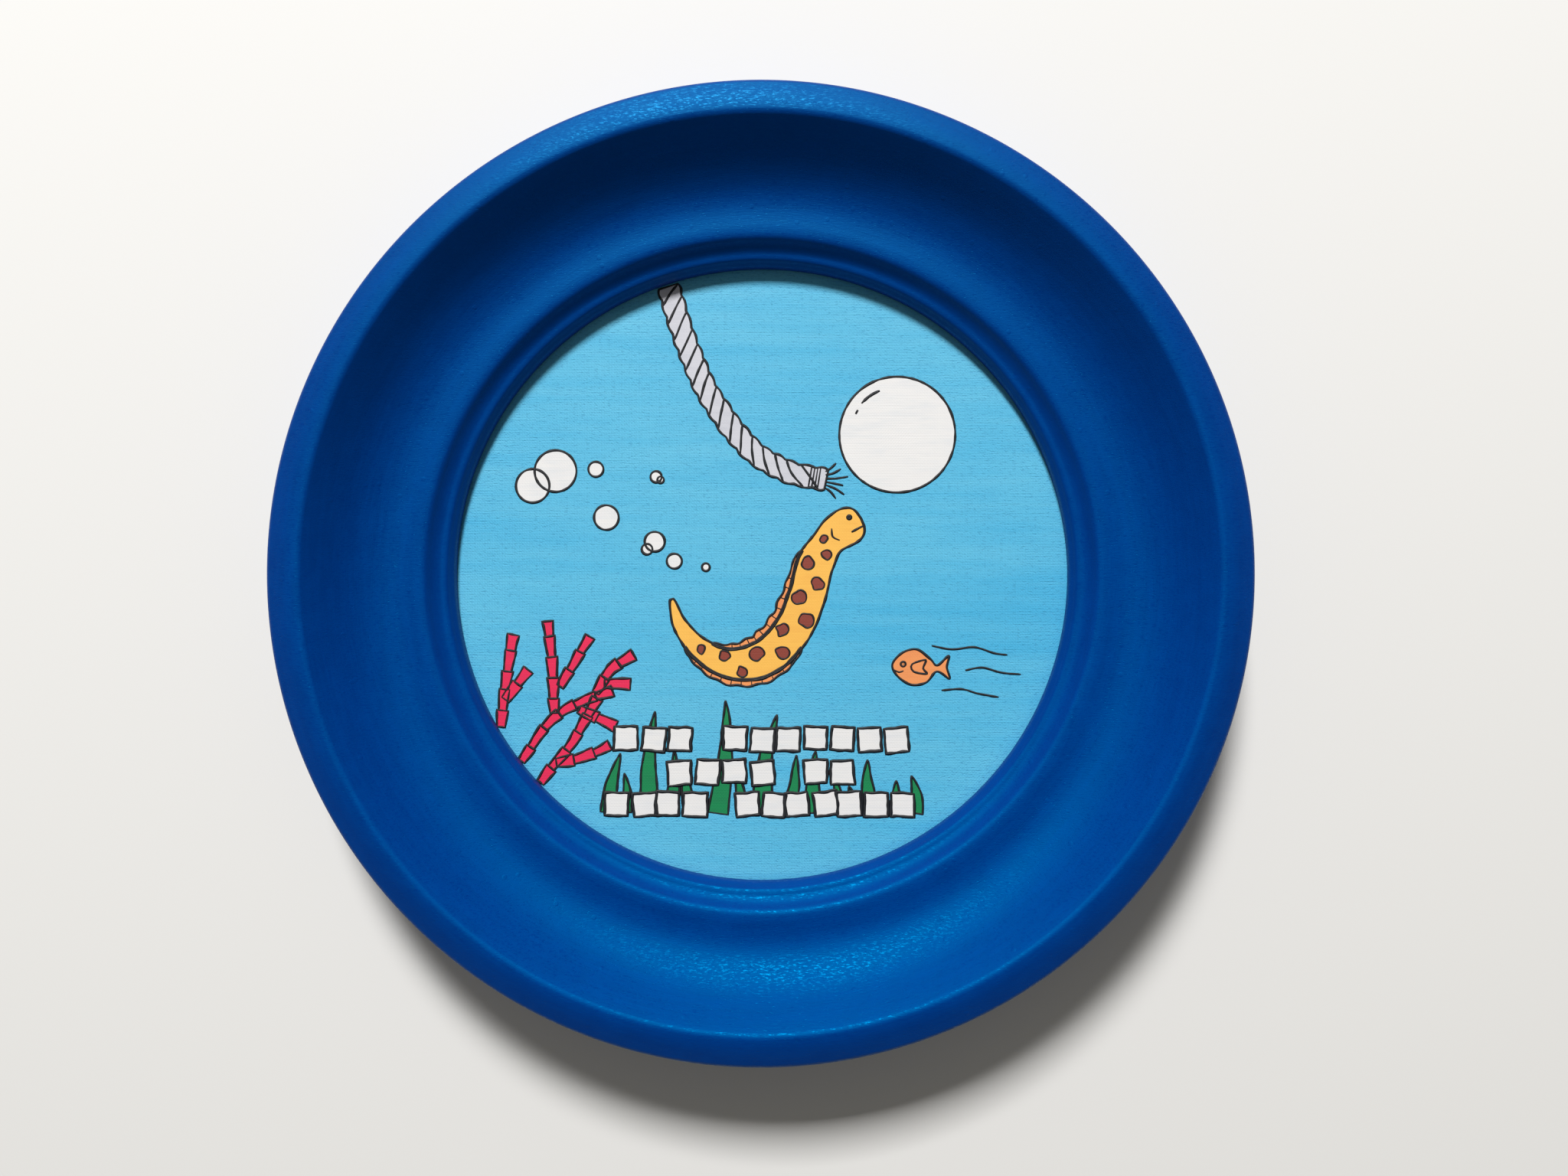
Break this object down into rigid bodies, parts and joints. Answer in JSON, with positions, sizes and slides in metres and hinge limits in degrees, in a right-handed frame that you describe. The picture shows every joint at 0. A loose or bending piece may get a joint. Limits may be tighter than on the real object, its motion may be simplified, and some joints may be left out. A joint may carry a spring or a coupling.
{
  "type": "round picture frame",
  "caption": "Round scoop-moulded picture frame with a stretched canvas panel, held from behind by turn buttons, with a sawtooth hanger and bumper pads.",
  "frame": {"origin": "on the frame's turning axis, in the plane of the bumper pads' undersides", "axes": "+Z out of the picture's face, +Y towards the top of the picture when it hangs, +X to the viewer's right"},
  "size_m": [0.3048, 0.3048, 0.0402],
  "materials": {
    "blue_paint": "brushed satin paint",
    "painted_cloth": "matt acrylic on woven cotton",
    "grey_board": "raw pulp board",
    "white_paper": "uncoated paper",
    "brown_board": "tempered hardboard",
    "zinc_plate": "zinc plated",
    "brass_plate": "brass plated",
    "pad_rubber": "matt rubber"
  },
  "bodies": {
    "frame": {"frame_ring": "blue_paint", "canvas": "painted_cloth", "panel_board": "grey_board", "panel_paper": "white_paper", "backing_board": "brown_board", "turn_button_screw_1": "zinc_plate", "turn_button_screw_2": "zinc_plate", "turn_button_screw_3": "zinc_plate", "turn_button_screw_4": "zinc_plate", "sawtooth_hanger": "brass_plate", "hanger_nail_left": "brass_plate", "hanger_nail_right": "brass_plate", "bumper_pad_1": "pad_rubber", "bumper_pad_2": "pad_rubber", "bumper_pad_3": "pad_rubber", "bumper_pad_4": "pad_rubber"},
    "button_1": {"turn_button_1": "zinc_plate"},
    "button_2": {"turn_button_2": "zinc_plate"},
    "button_3": {"turn_button_3": "zinc_plate"},
    "button_4": {"turn_button_4": "zinc_plate"}
  },
  "joints": [
    {"name": "turn_button_1_turn", "type": "hinge", "parent": "frame", "child": "button_1", "pos_m": [0.0792, 0.0792, 0.0026], "axis": [0, 0, 1], "continuous": true},
    {"name": "turn_button_2_turn", "type": "hinge", "parent": "frame", "child": "button_2", "pos_m": [-0.0792, 0.0792, 0.0026], "axis": [0, 0, 1], "continuous": true},
    {"name": "turn_button_3_turn", "type": "hinge", "parent": "frame", "child": "button_3", "pos_m": [-0.0792, -0.0792, 0.0026], "axis": [0, 0, 1], "continuous": true},
    {"name": "turn_button_4_turn", "type": "hinge", "parent": "frame", "child": "button_4", "pos_m": [0.0792, -0.0792, 0.0026], "axis": [0, 0, 1], "continuous": true}
  ]
}
